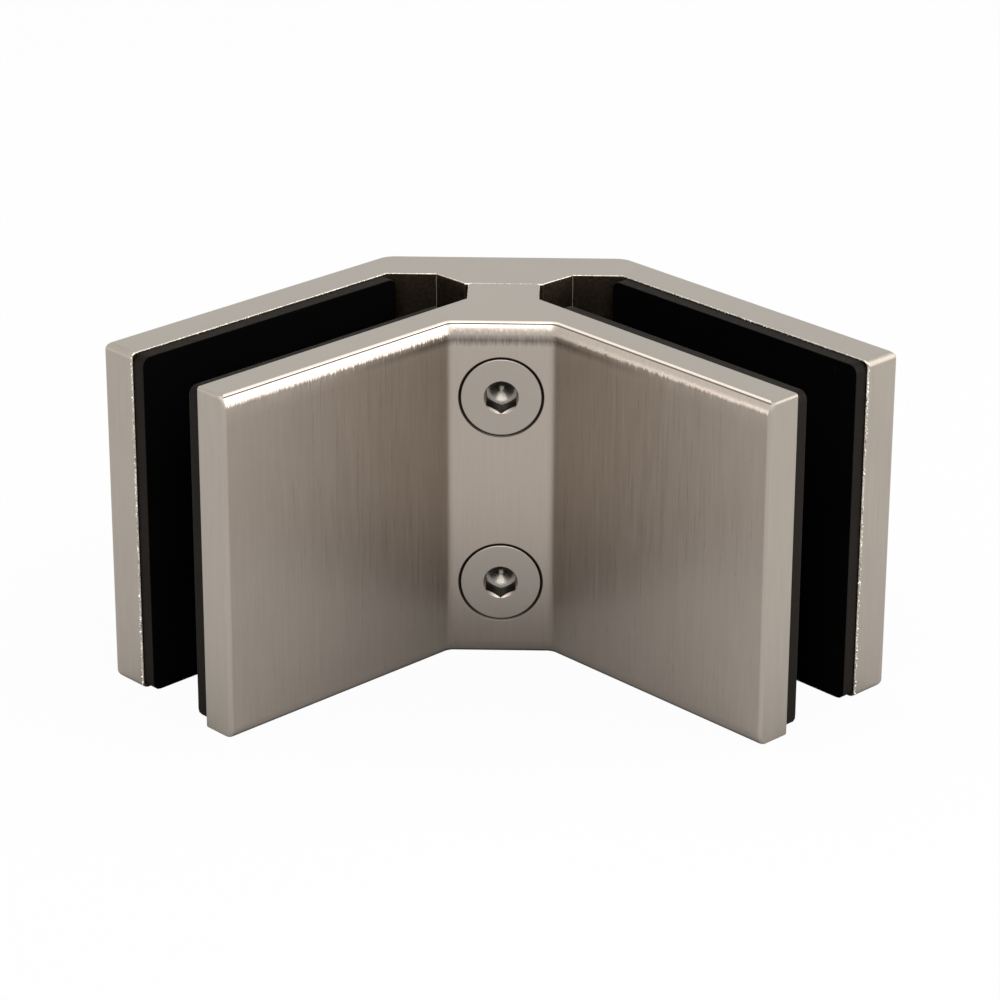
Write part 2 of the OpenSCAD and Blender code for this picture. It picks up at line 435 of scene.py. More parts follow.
@dataclass(frozen=True)
class BrushedNickel:
    """Satin nickel plate with fine parallel scratches.

    The scratches tilt the surface a little and lighten or darken the plating,
    and broad clouds follow the uneven pressure of the belt.

    Attributes:
        anisotropic: How much the scratches stretch its reflections.
        stretch_turn: The turn from the scratches to that stretch, in whole turns.
        streak_contrast: How much they lighten or darken it.
        coarse_share: The share of the coarse ones in all.
        cloud_share: The share of the clouds in what lightens or darkens it.
        smoother: How much smoother the smoothest streaks are.
        rougher: How much rougher the roughest ones are.
        polish_and_light: What the buffing wheel left on it, if it was buffed, with its painted
            shade and highlights.
    """

    name: str
    colour: Colour = (0.41, 0.372, 0.322)
    grain: Grain = Grain.UPRIGHT
    roughness: float = 0.34
    anisotropic: float = 0.8
    stretch_turn: float = 0.25
    streak_depth: float = 0.008 * MM
    streak_contrast: float = 0.085
    fine_per_metre: float = 5600.0
    coarse_per_metre: float = 1900.0
    coarse_share: float = 0.25
    clouds_per_metre: float = 70.0
    cloud_share: float = 0.2
    smoother: float = 0.05
    rougher: float = 0.07
    polish_and_light: Optional[EdgePolishAndPaintedLight] = None

    def make(self) -> Material:
        """Builds the material.

        Returns:
            The finished material.
        """
        material, tree = new_material(self.name)
        place = tree.add("ShaderNodeTexCoord").outputs["Object"]
        stretched = tree.add("ShaderNodeMapping", {
            "Vector": place, "Scale": self.grain.value}).outputs[0]
        fine, coarse = (tree.noise(stretched, per_metre, detail=3.0, roughness=0.6)
                        for per_metre in (self.fine_per_metre, self.coarse_per_metre))
        streak = tree.mixed(fine, coarse, self.coarse_share)
        cloud = tree.noise(place, self.clouds_per_metre, detail=3.0)
        level = tree.from_noise(tree.mixed(streak, cloud, self.cloud_share),
                                1 - self.streak_contrast, 1 + self.streak_contrast)
        rough = tree.from_noise(streak, self.roughness - self.smoother,
                                self.roughness + self.rougher)
        normal = tree.add("ShaderNodeNewGeometry").outputs["Normal"]
        if self.polish_and_light:
            level, normal = self.polish_and_light.looks(tree, place, level, normal)
        colour = tree.scaled(self.colour, level)
        bump = tree.add("ShaderNodeBump", {
            "Height": streak, "Strength": 1.0, "Distance": self.streak_depth,
            "Normal": normal}).outputs[0]
        inputs: Dict[Union[str, int], Value] = {
            "Base Color": colour, "Metallic": 1.0, "Roughness": rough, "Normal": bump}
        if self.grain is not Grain.NONE:
            along = (0.0, 0.0, 1.0) if self.grain is Grain.UPRIGHT else (0.0, 1.0, 0.0)
            tangent = tree.add("ShaderNodeCombineXYZ", dict(enumerate(along))).outputs[0]
            inputs.update({"Tangent": tangent, "Anisotropic": self.anisotropic,
                           "Anisotropic Rotation": self.stretch_turn})
        shader = tree.add("ShaderNodeBsdfPrincipled", inputs)
        tree.add("ShaderNodeOutputMaterial", {"Surface": shader.outputs[0]})
        return material


@dataclass(frozen=True)
class SheetRubber:
    """Black sheet rubber with specks of dust, smooth or greyer where it was cut.

    Attributes:
        darker: The share of the colour that its darkest clouds have.
        lighter: The share that its lightest clouds have.
        smoother: How much smoother the smoothest grain is.
        rougher: How much rougher the roughest grain is.
        fleck_start: The noise of the dust from which a speck shows.
        fleck_full: The noise at which it shows in full.
        fleck_level: How much lighter a speck is.
    """

    name: str
    colour: Colour = (0.0016, 0.0015, 0.0014)
    roughness: float = 0.88
    gloss: float = 0.015
    grain_depth: float = 0.015 * MM
    grain_per_metre: float = 2600.0
    clouds_per_metre: float = 90.0
    dust_per_metre: float = 700.0
    darker: float = 0.8
    lighter: float = 1.25
    smoother: float = 0.08
    rougher: float = 0.12
    fleck_start: float = 0.76
    fleck_full: float = 0.82
    fleck_level: float = 0.02

    def make(self) -> Material:
        """Builds the material.

        Returns:
            The finished material.
        """
        material, tree = new_material(self.name)
        place = tree.add("ShaderNodeTexCoord").outputs["Object"]
        grain = tree.noise(place, self.grain_per_metre, detail=4.0, roughness=0.65)
        cloud = tree.noise(place, self.clouds_per_metre, detail=3.0)
        dust = tree.noise(place, self.dust_per_metre, detail=2.0)
        fleck = tree.spread(dust, self.fleck_start, self.fleck_full, 0.0, self.fleck_level)
        tinted = tree.scaled(self.colour, tree.from_noise(cloud, self.darker, self.lighter))
        colour = tree.vector("ADD", tinted, fleck)
        rough = tree.from_noise(grain, self.roughness - self.smoother,
                                self.roughness + self.rougher)
        bump = tree.add("ShaderNodeBump", {
            "Height": grain, "Strength": 1.0, "Distance": self.grain_depth}).outputs[0]
        shader = tree.add("ShaderNodeBsdfPrincipled", {
            "Base Color": colour, "Roughness": rough, "Normal": bump,
            "Specular IOR Level": self.gloss})
        tree.add("ShaderNodeOutputMaterial", {"Surface": shader.outputs[0]})
        return material


@dataclass(frozen=True)
class Finishes:
    """Every finish of the clamp, built once."""

    face: Material
    buffed: Material
    rim: Material
    end: Material
    tip: Material
    slot: Material
    bore: Material
    burr: Material
    head: Material
    socket: Material
    rubber: Material
    cut_rubber: Material

    @classmethod
    def build(cls) -> "Finishes":
        """Builds all of them.

        Returns:
            The set of finished materials.
        """
        polish_and_light = EdgePolishAndPaintedLight(edge=cad_box[1].z)
        brushed = (0.425, 0.37, 0.321)
        return cls(
            face=BrushedNickel("nickel_brushed_upright", colour=brushed).make(),
            # The buffed faces carry the wheel's marks, a painted shade band and painted
            # highlights.
            buffed=BrushedNickel("nickel_buffed_with_painted_light", colour=brushed, roughness=0.31,
                                 anisotropic=0.68, polish_and_light=polish_and_light).make(),
            rim=BrushedNickel("nickel_brushed_across", grain=Grain.ACROSS, roughness=0.42,
                              streak_contrast=0.08).make(),
            end=BrushedNickel("nickel_brushed_ends", colour=(0.42, 0.375, 0.325), roughness=0.42,
                              anisotropic=0.4).make(),
            # Painted shade: the tips are a little darker than the ends, which damps the lamps'
            # highlight there; they are also rougher.
            tip=BrushedNickel("nickel_tips_painted_shade", colour=(0.39, 0.348, 0.302),
                              roughness=0.56, anisotropic=0.3, streak_contrast=0.12).make(),
            # Painted shade: the slot's inner faces are much darker than the outer faces.
            slot=BrushedNickel("nickel_slot_painted_shade", colour=(0.13, 0.098, 0.066), grain=Grain.NONE,
                               roughness=0.34, fine_per_metre=2200.0,
                               streak_contrast=0.3).make(),
            # Painted shade: the bores and the socket's walls are nearly black.
            bore=BrushedNickel("bore_painted_shade", colour=(0.06, 0.05, 0.042), grain=Grain.NONE,
                               roughness=0.4).make(),
            # Painted glint: the burrs are lighter than the plate and strongly streaked, so that
            # they sparkle.
            burr=BrushedNickel("burr_painted_glint", colour=(0.62, 0.575, 0.51), grain=Grain.NONE,
                               roughness=0.3, streak_depth=0.06 * MM, fine_per_metre=3200.0,
                               coarse_per_metre=400.0, streak_contrast=0.85).make(),
            head=BrushedNickel("screw_satin", colour=(0.385, 0.345, 0.305), grain=Grain.NONE,
                               roughness=0.36, streak_contrast=0.07).make(),
            # Painted shade: the socket's floor is darker than the head.
            socket=BrushedNickel("socket_painted_shade", colour=(0.25, 0.23, 0.205), grain=Grain.NONE,
                                 roughness=0.26, streak_contrast=0.08).make(),
            rubber=SheetRubber("rubber_moulded").make(),
            cut_rubber=SheetRubber("rubber_cut", colour=(0.0082, 0.006, 0.0041),
                                   roughness=0.6, gloss=0.085).make())


# ---- mesh helpers


def new_piece(name: str, mesh: bpy.types.Mesh) -> Piece:
    """Puts a mesh into the scene as a piece at the origin."""
    piece = bpy.data.objects.new(name, mesh)
    bpy.context.scene.collection.objects.link(piece)
    return piece


def flattened(piece: Piece) -> Piece:
    """Turns a piece's modifiers into plain mesh.

    Args:
        piece: The object that carries them.

    Returns:
        The same object, with no modifier.
    """
    bpy.context.view_layer.update()
    evaluated = piece.evaluated_get(bpy.context.evaluated_depsgraph_get())
    mesh = bpy.data.meshes.new_from_object(evaluated)
    piece.modifiers.clear()
    old = piece.data
    piece.data = mesh
    mesh.name = piece.name
    bpy.data.meshes.remove(old)
    return piece


def smooth(piece: Piece) -> None:
    """Shades a piece smooth up to SMOOTH_ANGLE, with its large faces kept flat.

    Args:
        piece: The object to shade.
    """
    piece.data.polygons.foreach_set("use_smooth", [True] * len(piece.data.polygons))
    piece.data.set_sharp_from_angle(angle=SMOOTH_ANGLE)
    piece.modifiers.new("weighted", "WEIGHTED_NORMAL").keep_sharp = True
    flattened(piece)


def arc_corner(before: Vector, corner: Vector, after: Vector, radius: float,
               steps: int) -> List[Vector]:
    """Rounds one corner of a plan.

    Args:
        before: The corner before it.
        corner: The corner itself.
        after: The corner after it.
        radius: The radius of the rounding.
        steps: The number of stretches along it.

    Returns:
        The points along the rounding.
    """
    to_before, to_after = (before - corner).normalized(), (after - corner).normalized()
    half = to_before.angle(to_after) / 2
    centre = corner + (to_before + to_after).normalized() * radius / math.sin(half)
    start = corner + to_before * radius / math.tan(half) - centre
    cross = -to_before.x * to_after.y + to_before.y * to_after.x
    turn = math.copysign(math.pi - 2 * half, cross)
    points = []
    for step in range(steps + 1):
        angle = turn * step / steps
        cos, sin = math.cos(angle), math.sin(angle)
        points.append(centre + Vector((start.x * cos - start.y * sin,
                                       start.x * sin + start.y * cos)))
    return points


def skinned(name: str, rings: Sequence[Sequence[Vector]]) -> bpy.types.Mesh:
    """Joins rings of equally many points into a closed skin.

    Args:
        name: The mesh's name.
        rings: The rings in order; a ring of one point is a pole.

    Returns:
        The mesh, with its faces pointing outwards.
    """
    mesh = bpy.data.meshes.new(name)
    shape = bmesh.new()
    rows = [[shape.verts.new(point) for point in ring] for ring in rings]
    for lower, upper in zip(rows, rows[1:]):
        count = max(len(lower), len(upper))
        for i in range(count):
            j = (i + 1) % count
            quad = [lower[i % len(lower)], lower[j % len(lower)],
                    upper[j % len(upper)], upper[i % len(upper)]]
            shape.faces.new(list(dict.fromkeys(quad)))
    for row in (rows[0], rows[-1]):
        if len(row) > 1:
            shape.faces.new(row)
    bmesh.ops.recalc_face_normals(shape, faces=shape.faces)
    shape.to_mesh(mesh)
    shape.free()
    return mesh


# ---- plates


@dataclass(frozen=True)
class Rounding:
    """An edge rounded to an arc.

    Attributes:
        reach: How far the rounding reaches from the edge on both faces.
        steps: The number of stretches across it.
    """

    reach: float = 0.15 * MM
    steps: int = 3

    def depths(self) -> List[float]:
        """Depths below the upper face at which the rounding is drawn."""
        return [self.reach * (1 - math.sin(math.pi / 2 * i / self.steps))
                for i in range(self.steps + 1)]

    def inset(self, depth: float) -> float:
        """How far the rounded face stands back at a depth below the upper face."""
        left = max(0.0, 1 - depth / self.reach)
        return self.reach * (1 - math.sqrt(1 - left * left))


@dataclass(frozen=True)
class RolledEdge(Rounding):
    """A face that leans back ever more below a crisp edge, as buffing leaves it.

    Attributes:
        roll: How far the face leans back in all.
        crisp: Rounding of the edge itself.
        groove_depth: Depth of the fine line that the cutter left under the edge.
        groove_width: Width of that line.
        groove_inset: How far its middle lies below the crisp rounding, in widths.
    """

    reach: float = 1.9 * MM
    steps: int = 14
    roll: float = 0.75 * MM
    crisp: Rounding = Rounding(0.2 * MM, 5)
    groove_depth: float = 0.05 * MM
    groove_width: float = 0.18 * MM
    groove_inset: float = 0.65

    @property
    def groove(self) -> float:
        """Depth of the line's middle below the upper face."""
        return self.crisp.reach + self.groove_width * self.groove_inset

    def depths(self) -> List[float]:
        """Lists where the edge is drawn.

        Returns:
            The depths below the upper face, in no order.
        """
        return ([self.reach * i / self.steps for i in range(2, self.steps + 1)]
                + [self.groove + self.groove_width * share for share in (-0.5, 0.0, 0.5)]
                + self.crisp.depths())

    def inset(self, depth: float) -> float:
        """Works out how far the face stands back.

        Args:
            depth: The depth below the upper face.

        Returns:
            The distance that it stands back there.
        """
        off_groove = min(1.0, abs(depth - self.groove) / (self.groove_width / 2))
        return (self.roll * max(0.0, 1 - depth / self.reach) ** 2 + self.crisp.inset(depth)
                + self.groove_depth * (1 - off_groove))


@dataclass
class PlanCorner:
    """A corner of a plate's plan, and the side that starts at it.

    Attributes:
        x: Distance from the middle.
        y: Distance out of the corner.
        radius: Radius of the fold or of the rounded upright edge, if any.
        rim: Rounding of the upper and lower edge of the side that follows.
        zone: The part of the plate that the side belongs to.
        edge: The finish of the upright edge itself, if it has one of its own.
    """

    x: float
    y: float
    radius: float = 0.0
    rim: Rounding = Rounding()
    zone: Zone = Zone.SLOT
    edge: Optional[Zone] = None

    @property
    def place(self) -> Vector:
        """The corner's place in plan."""
        return Vector((self.x, self.y))


@dataclass
class FoldedPlate:
    """A thick plate with two folded wings, cut from one profile.

    Its skin is drawn slice by slice from the lower face to the upper one. Every
    side of a slice stands back by its own edge's rounding at that depth. Then
    the screw holes are bored.

    Attributes:
        hole_inset: Distance of the holes' axes from the upper and lower face.
        hole_spare: How far the holes' cutter stands out of the plate.
        hole_columns: The number of stretches around a hole.
        arc_steps: The number of stretches along a fold or a rounded upright edge.
        slice_gap: Slices that lie closer than this are one.
        edge_zones: The finish of a side's upper and lower edges, if not its own.
        edge_tilts: How far up or down such an edge looks, at least.
        edge_share: The share of an upright edge's radius that its own finish covers.
        rim_tilt: How far up or down the upper and lower face look, at least.
        bore_tilt: How far away from its axis a bore's wall looks, at least.
        bore_gap: How far that wall lies inside the plan, at least.
        burr_spacing: Distance between the burrs along an edge, before gaps.
        upright_burr: The largest size of a burr on an upright edge.
        level_burr: The largest size of one on a level edge.
    """

    name: str
    node: str
    body: str
    hole_inset: float = 11 * MM
    hole_spare: float = 0.5 * MM
    hole_columns: int = 96
    arc_steps: int = 8
    slice_gap: float = 0.002 * MM
    edge_share: float = 0.7
    rim_tilt: float = 0.97
    bore_tilt: float = 0.3
    bore_gap: float = 0.01 * MM
    burr_spacing: float = 0.3 * MM
    upright_burr: float = 0.26 * MM
    level_burr: float = 0.12 * MM
    corners: List[PlanCorner] = field(default_factory=list)
    edge_zones: Dict[Zone, Zone] = field(default_factory=lambda: {
        Zone.SLOT: Zone.BURR, Zone.END: Zone.TIP})
    edge_tilts: Dict[Zone, float] = field(default_factory=lambda: {
        Zone.SLOT: 0.5, Zone.END: 0.15})

    def right_half(self) -> List[PlanCorner]:
        """Works out the plan's corners on the right, clockwise from the middle of its back."""
        raise NotImplementedError

    def back_side(self) -> Tuple[Rounding, Zone]:
        """Rim and zone of the side that closes the outline across the middle."""
        raise NotImplementedError

    def cutter_profile(self) -> List[Point]:
        """Radius and depth of the hole's cutter, from the screw's head to its tip."""
        raise NotImplementedError

    def plan(self) -> List[PlanCorner]:
        """Works out the whole outline.

        Returns:
            The corners in order around the plate, clockwise from above.
        """
        right = self.right_half()
        before = list(reversed(right[:-1])) + [right[-1]]
        mirrored = [PlanCorner(-c.x, c.y, c.radius, p.rim, p.zone, c.edge)
                    for c, p in zip(reversed(right), before)]
        mirrored[-1].rim, mirrored[-1].zone = self.back_side()
        return right + mirrored

    def outline(self, depth: float) -> List[Vector]:
        """Draws the plan at a depth below the upper face or above the lower one.

        Args:
            depth: The depth of the slice.

        Returns:
            The slice's points, equally many at every depth.
        """
        points: List[Vector] = []
        for i, corner in enumerate(self.corners):
            before, after = self.corners[i - 1], self.corners[(i + 1) % len(self.corners)]
            into = (corner.place - before.place).normalized()
            out = (after.place - corner.place).normalized()
            back, ahead = before.rim.inset(depth), corner.rim.inset(depth)
            turn = into.x * out.y - into.y * out.x
            # Both sides move to their right, into the plate, by their own insets.
            place = corner.place + (into * ahead - out * back) / turn
            if corner.radius:
                points += arc_corner(place - into, place, place + out, corner.radius,
                                     self.arc_steps)
            else:
                points.append(place)
        return points

    def skin(self) -> bpy.types.Mesh:
        """Joins the slices from the lower face to the upper one.

        Returns:
            The plate's mesh, without its holes.
        """
        low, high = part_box(self.node)
        depths: List[float] = []
        for depth in sorted(d for corner in self.corners for d in corner.rim.depths()):
            if not depths or depth - depths[-1] > self.slice_gap:
                depths.append(depth)
        levels = ([(low.z + depth, depth) for depth in depths]
                  + [(high.z - depth, depth) for depth in reversed(depths)])
        return skinned(self.name, [[Vector((point.x, point.y, z)) for point in self.outline(depth)]
                                   for z, depth in levels])

    def nearest_zone(self, point: Vector) -> Tuple[float, Zone]:
        """Finds the side or the upright edge of the plan that lies nearest to a point.

        Args:
            point: The point.

        Returns:
            Its distance, which is 0 on an upright edge, and the zone there.
        """
        flat = point.to_2d()
        for corner in self.corners:
            if corner.edge and (flat - corner.place).length < self.edge_share * corner.radius:
                return 0.0, corner.edge
        found = []
        for corner, after in zip(self.corners, self.corners[1:] + self.corners[:1]):
            along = after.place - corner.place
            share = max(0.0, min(1.0, (flat - corner.place).dot(along) / along.length_squared))
            found.append(((corner.place + along * share - flat).length, corner.zone))
        return min(found, key=lambda pair: pair[0])

    def bore(self, piece: Piece) -> None:
        """Cuts both screw holes.

        Args:
            piece: The rounded plate.
        """
        low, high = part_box(self.node)
        face_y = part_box("upper_screw")[0].y
        for height in (low.z + self.hole_inset, high.z - self.hole_inset):
            rings = [ring_points(radius, face_y + depth, height, self.hole_columns) if radius
                     else [Vector((0.0, face_y + depth, height))]
                     for radius, depth in self.cutter_profile()]
            cutter = new_piece("cutter", skinned("cutter", rings))
            cut = piece.modifiers.new("hole", "BOOLEAN")
            cut.object = cutter
            cut.solver = "EXACT"
            flattened(piece)
            bpy.data.objects.remove(cutter)

    def dress(self, piece: Piece, finishes: Finishes) -> None:
        """Gives each face of the plate its finish.

        Args:
            piece: The bored plate.
            finishes: The clamp's finishes.
        """
        mesh = piece.data
        mesh.materials.clear()
        zones = list(Zone)
        for zone in zones:
            mesh.materials.append(getattr(finishes, zone.value))
        low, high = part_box(self.node)
        axes = (low.z + self.hole_inset, high.z - self.hole_inset)
        widest = max(radius for radius, depth in self.cutter_profile() if depth >= 0)
        for polygon in mesh.polygons:
            centre, normal = polygon.center, polygon.normal
            reach = min(math.hypot(centre.x, centre.z - z) for z in axes)
            distance, zone = self.nearest_zone(centre)
            radial = math.hypot(normal.x, normal.z)
            if reach < widest and radial > self.bore_tilt and distance > self.bore_gap:
                zone = Zone.BORE
            elif abs(normal.z) > self.rim_tilt:
                zone = Zone.RIM
            elif zone in self.edge_zones and abs(normal.z) > self.edge_tilts[zone]:
                zone = self.edge_zones[zone]
            polygon.material_index = zones.index(zone)

    def burr_paths(self) -> List[List[Vector]]:
        """The edges on which the saw left burrs."""
        return []

    def roughen(self, piece: Piece, rule: GeometryRule, finishes: Finishes) -> None:
        """Adds the burrs to the plate's mesh.

        Args:
            piece: The dressed plate.
            rule: The rule that scatters burrs along an edge.
            finishes: The clamp's finishes.
        """
        shape = bmesh.new()
        shape.from_mesh(piece.data)
        plain = len(shape.faces)
        for seed, path in enumerate(self.burr_paths()):
            mesh = bpy.data.meshes.new("burrs")
            mesh.from_pydata(path, [(0, 1)], [])
            size = self.level_burr if path[0].z == path[1].z else self.upright_burr
            burrs = rule.applied_to(new_piece("burrs", mesh), {
                "Spacing": self.burr_spacing, "Size": size, "Seed": seed,
                "Material": finishes.burr})
            shape.from_mesh(burrs.data)
            bpy.data.objects.remove(burrs)
        shape.faces.ensure_lookup_table()
        for face in shape.faces[plain:]:
            face.material_index = list(Zone).index(Zone.BURR)
        shape.to_mesh(piece.data)
        shape.free()

    def make(self, burring: GeometryRule, finishes: Finishes) -> Piece:
        """Draws, bores and dresses the plate.

        Args:
            burring: The rule that scatters burrs along an edge.
            finishes: The clamp's finishes.

        Returns:
            The finished plate, riding on its body.
        """
        self.corners = self.plan()
        piece = new_piece(self.name, self.skin())
        self.bore(piece)
        self.dress(piece, finishes)
        self.roughen(piece, burring, finishes)
        smooth(piece)
        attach(piece, self.body)
        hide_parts(self.node)
        return piece


@dataclass
class WingShape:
    """Sizes that both plates share.

    Attributes:
        fold: Angle by which each wing is folded forward.
        face_edge: Rounding of the long edges of an outer face.
        tip_corner: Rounding of a wing tip's upper and lower edge.
        tip_edge: Rounding of a wing tip's outer upright edge.
        inner_edge: Rounding of a wing tip's inner upright edge.
    """

    fold: float = FOLD
    face_edge: Rounding = Rounding(1.0 * MM, 7)
    tip_corner: Rounding = Rounding(1.0 * MM, 8)
    tip_edge: float = 0.6 * MM
    inner_edge: float = 0.3 * MM

    @property
    def along(self) -> Vector:
        """Direction of the right wing in plan, away from the fold."""
        return Vector((math.cos(self.fold), -math.sin(self.fold)))

    @property
    def outwards(self) -> Vector:
        """Direction in plan that the right wing's rear face looks in."""
        return Vector((math.sin(self.fold), math.cos(self.fold)))


@dataclass
class RearPlate(FoldedPlate):
    """The larger plate, with a raised pad and two blind tapped holes.

    Attributes:
        core: Thickness of the flat middle.
        tap_spare: How much deeper the holes are than the screws reach.
        burr_end: Distance of the burrs from the ends of an edge.
        burr_sink: How far the burrs of the slots lie below the upper face.
        joint_sink: How far those of the joint lie below it.
        joint_side: How far those lie behind the joint.
        tip_side: How far outwards the burrs of the tips lie.
        tip_lap: How far inwards along the wing they lie.
    """

    wing: WingShape = field(default_factory=WingShape)
    flat_width: float = 34.6 * MM
    core: float = 7.9 * MM
    wing_thickness: float = 6 * MM
    wing_length: float = 51.4 * MM
    fold_radius: float = 3 * MM
    pad_width: float = 11 * MM
    pad_foot: float = 19.3 * MM
    pad_height: float = 3.8 * MM
    pad_rim: Rounding = Rounding(0.3 * MM)
    pad_edge: float = 0.15 * MM
    foot_edge: float = 0.13 * MM
    tap_radius: float = 3.05 * MM
    tap_chamfer: float = 0.6 * MM
    tap_spare: float = 0.6 * MM
    burr_end: float = 0.4 * MM
    burr_sink: float = 0.14 * MM
    joint_sink: float = 0.13 * MM
    joint_side: float = 0.14 * MM
    tip_side: float = 0.12 * MM
    tip_lap: float = 0.04 * MM

    def right_half(self) -> List[PlanCorner]:
        """Works out the right half of the plan.

        Returns:
            Its corners, clockwise from the middle of the plate's back.
        """
        wing = self.wing
        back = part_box(self.node)[1].y
        fold = Vector((self.flat_width / 2, back))
        tip = fold + self.wing_length * wing.along
        inner_tip = tip - self.wing_thickness * wing.outwards
        core_y = back - self.core
        run = (self.core * math.cos(wing.fold) - self.wing_thickness) / math.sin(wing.fold)
        inner_fold = fold.x + run
        return [
            PlanCorner(fold.x, fold.y, self.fold_radius, wing.face_edge, Zone.FACE),
            PlanCorner(tip.x, tip.y, wing.tip_edge, wing.tip_corner, Zone.END),
            PlanCorner(inner_tip.x, inner_tip.y, wing.inner_edge, edge=Zone.BURR),
            PlanCorner(inner_fold, core_y),
            PlanCorner(self.pad_foot / 2, core_y, self.foot_edge, edge=Zone.TIP),
            PlanCorner(self.pad_width / 2, core_y - self.pad_height, self.pad_edge, self.pad_rim),
        ]

    def back_side(self) -> Tuple[Rounding, Zone]:
        """Rim and zone of the plate's flat back."""
        return self.wing.face_edge, Zone.FACE

    def burr_paths(self) -> List[List[Vector]]:
        """Finds the edges on which the saw left burrs.

        Returns:
            For both wings the tip's inner edge and the slot's upper edge, and then the joint.
        """
        low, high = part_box(self.node)
        tip, fold, pad = (self.corners[i].place for i in (2, 3, 5))
        edge = tip - self.tip_lap * self.wing.along + self.tip_side * self.wing.outwards
        outer = tip - self.burr_end * self.wing.along
        bottom, top = low.z + self.burr_end, high.z - self.burr_end
        sunk = high.z - self.burr_sink
        paths = []
        for side in Side:
            for ends in (((edge, bottom), (edge, top)), ((outer, sunk), (fold, sunk))):
                paths.append([Vector((side.value * place.x, place.y, z)) for place, z in ends])
        half = pad.x - self.burr_end
        paths.append([Vector((x, pad.y + self.joint_side, high.z - self.joint_sink))
                      for x in (-half, half)])
        return paths

    def cutter_profile(self) -> List[Point]:
        """Draws the blind tapped hole with its chamfered mouth.

        Returns:
            Radius and depth behind the screw's face, from the mouth to the end.
        """
        low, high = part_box("upper_screw")
        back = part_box(self.node)[1].y
        mouth = back - self.core - self.pad_height - low.y
        outside = mouth - self.hole_spare
        end = high.y - low.y + self.tap_spare
        wide = self.tap_radius + self.tap_chamfer + self.hole_spare
        return [(0.0, outside), (wide, outside), (self.tap_radius, mouth + self.tap_chamfer),
                (self.tap_radius, end), (0.0, end)]


@dataclass
class FrontPlate(FoldedPlate):
    """The smaller plate, whose block butts against the rear plate's pad.

    Attributes:
        lip: Size of the broken edge around a countersink.
        lip_turn: Where that edge bends, as a share of its size.
    """

    wing: WingShape = field(default_factory=WingShape)
    flat_width: float = 14.1 * MM
    wing_thickness: float = 5.4 * MM
    wing_length: float = 40.6 * MM
    fold_radius: float = 2 * MM
    block_width: float = 10.1 * MM
    block_corner: float = 0.5 * MM
    block_rim: Rounding = Rounding(0.1 * MM)
    hole_radius: float = 3.3 * MM
    countersink_radius: float = 5.95 * MM
    lip: float = 0.06 * MM
    lip_turn: float = 0.3
    face_rim: Rounding = RolledEdge()
    tip_corner: Rounding = Rounding(0.45 * MM, 5)

    def right_half(self) -> List[PlanCorner]:
        """Works out the right half of the plan.

        Returns:
            Its corners, clockwise from the middle of the block's rear face.
        """
        wing = self.wing
        face_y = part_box("upper_screw")[0].y
        joint_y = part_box(self.node)[1].y
        fold = Vector((self.flat_width / 2, face_y))
        tip = fold + self.wing_length * wing.along
        inner_tip = tip + self.wing_thickness * wing.outwards
        offset = fold.dot(wing.outwards) + self.wing_thickness
        half = self.block_width / 2
        root = (offset - math.sin(wing.fold) * half) / math.cos(wing.fold)
        return [
            PlanCorner(half, joint_y, self.block_corner),
            PlanCorner(half, root),
            PlanCorner(inner_tip.x, inner_tip.y, wing.inner_edge, self.tip_corner, Zone.END),
            PlanCorner(tip.x, tip.y, wing.tip_edge, self.face_rim, Zone.BUFFED),
            PlanCorner(fold.x, fold.y, self.fold_radius, self.face_rim, Zone.BUFFED),
        ]

    def back_side(self) -> Tuple[Rounding, Zone]:
        """Rim and zone of the block's rear face."""
        return self.block_rim, Zone.SLOT

    def cutter_profile(self) -> List[Point]:
        """Draws the through hole and its countersink.

        Returns:
            Radius and depth behind the screw's face, from the mouth to the end.
        """
        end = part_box(self.node)[1].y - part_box("upper_screw")[0].y + self.hole_spare
        mouth, bend = self.countersink_radius, self.lip_turn * self.lip
        return [(0.0, -self.hole_spare), (mouth + self.lip, -self.hole_spare),
                (mouth + self.lip, 0.0), (mouth + bend, bend), (mouth - self.lip, self.lip),
                (self.hole_radius, mouth - self.hole_radius), (self.hole_radius, end),
                (0.0, end)]


def burring_rule() -> GeometryRule:
    """Makes the rule that scatters small burrs along an edge.

    Returns:
        The rule, with Spacing, Size, Seed and Material as its inputs.
    """
    rule = GeometryRule("scatter_burrs", {"Spacing": "Float", "Size": "Float", "Seed": "Int",
                                          "Material": "Material"})
    given = rule.given
    curve = rule.add("GeometryNodeMeshToCurve", {0: given["Geometry"]}).outputs[0]
    stepped = rule.add("GeometryNodeResampleCurve", {
        "Curve": curve, "Length": given["Spacing"]}, mode="LENGTH").outputs[0]
    kept = rule.add("FunctionNodeRandomValue", {
        "Probability": BURRS_KEPT, "Seed": given["Seed"]}, data_type="BOOLEAN").outputs[3]
    turned, stretch = (
        rule.add("FunctionNodeRandomValue", {"Min": low, "Max": high, "Seed": given["Seed"]},
                 data_type="FLOAT_VECTOR").outputs[0]
        for low, high in (((0.0, 0.0, 0.0), (math.tau,) * 3), (THIN_BURR, FULL_BURR)))
    size = rule.scaled(stretch, given["Size"])
    flake = rule.add("GeometryNodeMeshIcoSphere", {"Radius": 1.0, "Subdivisions": 1}).outputs[0]
    flakes = rule.add("GeometryNodeInstanceOnPoints", {
        "Points": stepped, "Selection": kept, "Instance": flake, "Rotation": turned,
        "Scale": size}).outputs[0]
    rule.finish(flakes, given["Material"])
    return rule


# ---- screws


def ring_points(radius: Union[float, Callable[[float], float]], y: float, height: float,
                count: int) -> List[Vector]:
    """Lays points around a screw's axis.

    Args:
        radius: The ring's radius, or a rule that gives it for each angle from up.
        y: The ring's place along the axis.
        height: The axis's height.
        count: The number of points.

    Returns:
        The points, turning as a right-hand screw does.
    """
    points = []
    for i in range(count):
        angle = math.tau * i / count
        reach = radius(angle) if callable(radius) else radius
        points.append(Vector((reach * math.sin(angle), y, height + reach * math.cos(angle))))
    return points


